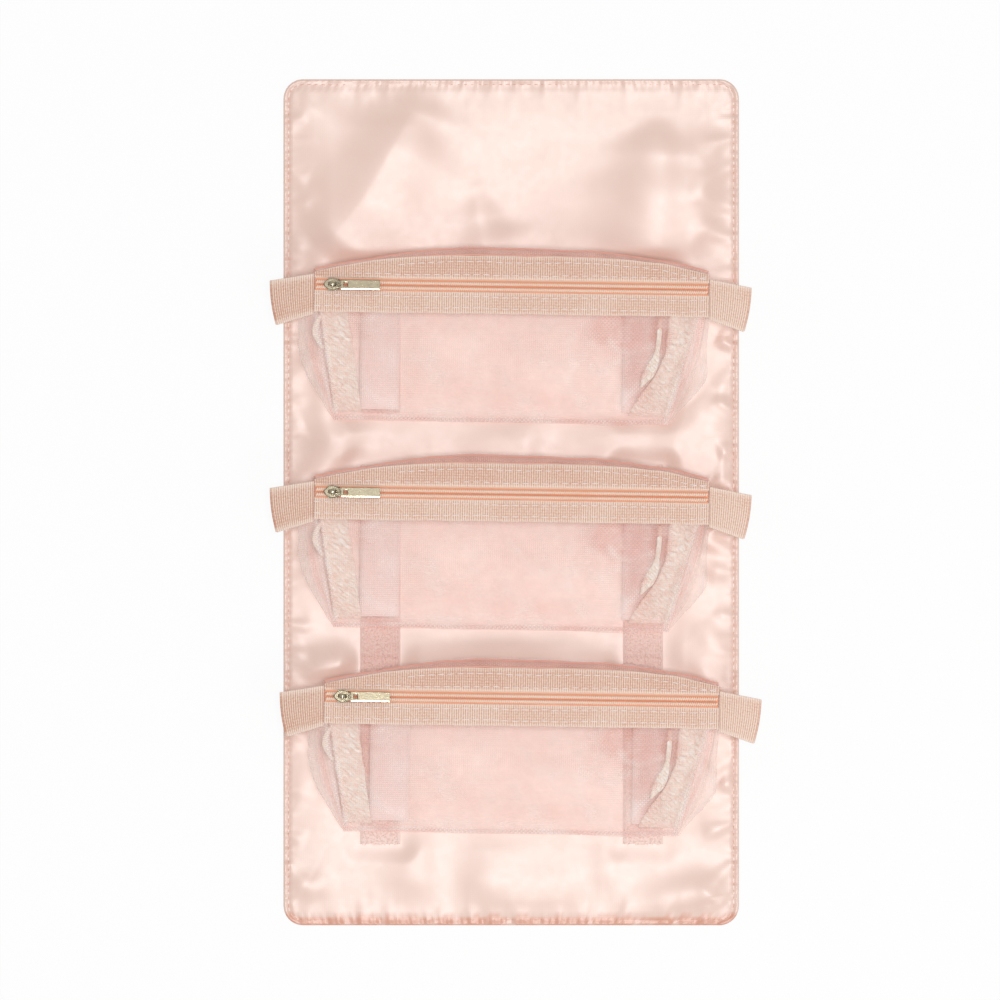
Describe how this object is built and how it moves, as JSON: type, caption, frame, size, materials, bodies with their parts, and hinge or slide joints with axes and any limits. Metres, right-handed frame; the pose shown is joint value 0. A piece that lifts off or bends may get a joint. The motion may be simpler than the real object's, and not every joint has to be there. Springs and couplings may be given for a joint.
{
  "type": "toiletry bag",
  "caption": "Roll-up travel toiletry bag laid open: a satin mat with fold lines and removable mesh zip pouches held on by hook-and-loop strips.",
  "frame": {"origin": "centre of the mat's back, the face that the open bag lies on", "axes": "+X across the mat, +Y up the mat towards the flap, +Z out of the mat towards the user"},
  "size_m": [0.3033, 0.52, 0.0357],
  "materials": {
    "satin": "polyester satin with a soft sheen",
    "mesh": "sheer nylon mesh",
    "webbing": "ribbed grosgrain webbing",
    "ribbon": "satin binding ribbon",
    "zip": "nylon coil on woven tape",
    "hook_and_loop": "napped hook-and-loop strip",
    "nickel": "nickel-plated zinc, lightly polished"
  },
  "bodies": {
    "base": {"mat_section_2": "satin", "loop_strip_2_left": "hook_and_loop", "loop_strip_2_right": "hook_and_loop"},
    "upper": {"mat_section_1": "satin", "loop_strip_1_left": "hook_and_loop", "loop_strip_1_right": "hook_and_loop"},
    "lower": {"mat_section_3": "satin", "loop_strip_3_left": "hook_and_loop", "loop_strip_3_right": "hook_and_loop"},
    "flap": {"mat_flap": "satin"},
    "pouch_1": {"pouch_1_front_mesh": "mesh", "pouch_1_back_mesh": "mesh", "pouch_1_left_gusset": "mesh", "pouch_1_right_gusset": "mesh", "pouch_1_upper_webbing": "webbing", "pouch_1_lower_webbing": "webbing", "pouch_1_zip_upper": "zip", "pouch_1_zip_lower": "zip", "pouch_1_left_ribbon": "ribbon", "pouch_1_right_ribbon": "ribbon", "pouch_1_left_tab": "webbing", "pouch_1_right_tab": "webbing", "pouch_1_left_hook_strip": "hook_and_loop", "pouch_1_right_hook_strip": "hook_and_loop"},
    "slider_1": {"pouch_1_slider": "nickel"},
    "pull_1": {"pouch_1_pull": "nickel"},
    "pouch_2": {"pouch_2_front_mesh": "mesh", "pouch_2_back_mesh": "mesh", "pouch_2_left_gusset": "mesh", "pouch_2_right_gusset": "mesh", "pouch_2_upper_webbing": "webbing", "pouch_2_lower_webbing": "webbing", "pouch_2_zip_upper": "zip", "pouch_2_zip_lower": "zip", "pouch_2_left_ribbon": "ribbon", "pouch_2_right_ribbon": "ribbon", "pouch_2_left_tab": "webbing", "pouch_2_right_tab": "webbing", "pouch_2_left_hook_strip": "hook_and_loop", "pouch_2_right_hook_strip": "hook_and_loop"},
    "slider_2": {"pouch_2_slider": "nickel"},
    "pull_2": {"pouch_2_pull": "nickel"},
    "pouch_3": {"pouch_3_front_mesh": "mesh", "pouch_3_back_mesh": "mesh", "pouch_3_left_gusset": "mesh", "pouch_3_right_gusset": "mesh", "pouch_3_upper_webbing": "webbing", "pouch_3_lower_webbing": "webbing", "pouch_3_zip_upper": "zip", "pouch_3_zip_lower": "zip", "pouch_3_left_ribbon": "ribbon", "pouch_3_right_ribbon": "ribbon", "pouch_3_left_tab": "webbing", "pouch_3_right_tab": "webbing", "pouch_3_left_hook_strip": "hook_and_loop", "pouch_3_right_hook_strip": "hook_and_loop"},
    "slider_3": {"pouch_3_slider": "nickel"},
    "pull_3": {"pouch_3_pull": "nickel"}
  },
  "joints": [
    {"name": "fold_upper", "type": "hinge", "parent": "base", "child": "upper", "pos_m": [0, 0.042, 0.0016], "axis": [-1, 0, 0], "range_deg": [-90, 0]},
    {"name": "fold_lower", "type": "hinge", "parent": "base", "child": "lower", "pos_m": [0, -0.0828, 0.0016], "axis": [1, 0, 0], "range_deg": [-90, 0]},
    {"name": "fold_flap", "type": "hinge", "parent": "upper", "child": "flap", "pos_m": [0, 0.1624, 0.0016], "axis": [-1, 0, 0], "range_deg": [-100, 0]},
    {"name": "peel_1", "type": "slide", "parent": "upper", "child": "pouch_1", "axis": [0, 0, 1], "range_m": [0, 0.06]},
    {"name": "zip_1", "type": "slide", "parent": "pouch_1", "child": "slider_1", "axis": [0.9999, -0.0148, 0], "range_m": [0, 0.216]},
    {"name": "pull_swing_1", "type": "hinge", "parent": "slider_1", "child": "pull_1", "pos_m": [-0.10969, 0.13363, 0.0338], "axis": [-0.0148, -0.9999, 0], "range_deg": [0, 175]},
    {"name": "peel_2", "type": "slide", "parent": "base", "child": "pouch_2", "axis": [0, 0, 1], "range_m": [0, 0.06]},
    {"name": "zip_2", "type": "slide", "parent": "pouch_2", "child": "slider_2", "axis": [0.9999, -0.0148, 0], "range_m": [0, 0.216]},
    {"name": "pull_swing_2", "type": "hinge", "parent": "slider_2", "child": "pull_2", "pos_m": [-0.10969, 0.00633, 0.0338], "axis": [-0.0148, -0.9999, 0], "range_deg": [0, 175]},
    {"name": "peel_3", "type": "slide", "parent": "lower", "child": "pouch_3", "axis": [0, 0, 1], "range_m": [0, 0.06]},
    {"name": "zip_3", "type": "slide", "parent": "pouch_3", "child": "slider_3", "axis": [0.9999, -0.0148, 0], "range_m": [0, 0.216]},
    {"name": "pull_swing_3", "type": "hinge", "parent": "slider_3", "child": "pull_3", "pos_m": [-0.10359, -0.11907, 0.0338], "axis": [-0.0148, -0.9999, 0], "range_deg": [0, 175]}
  ]
}
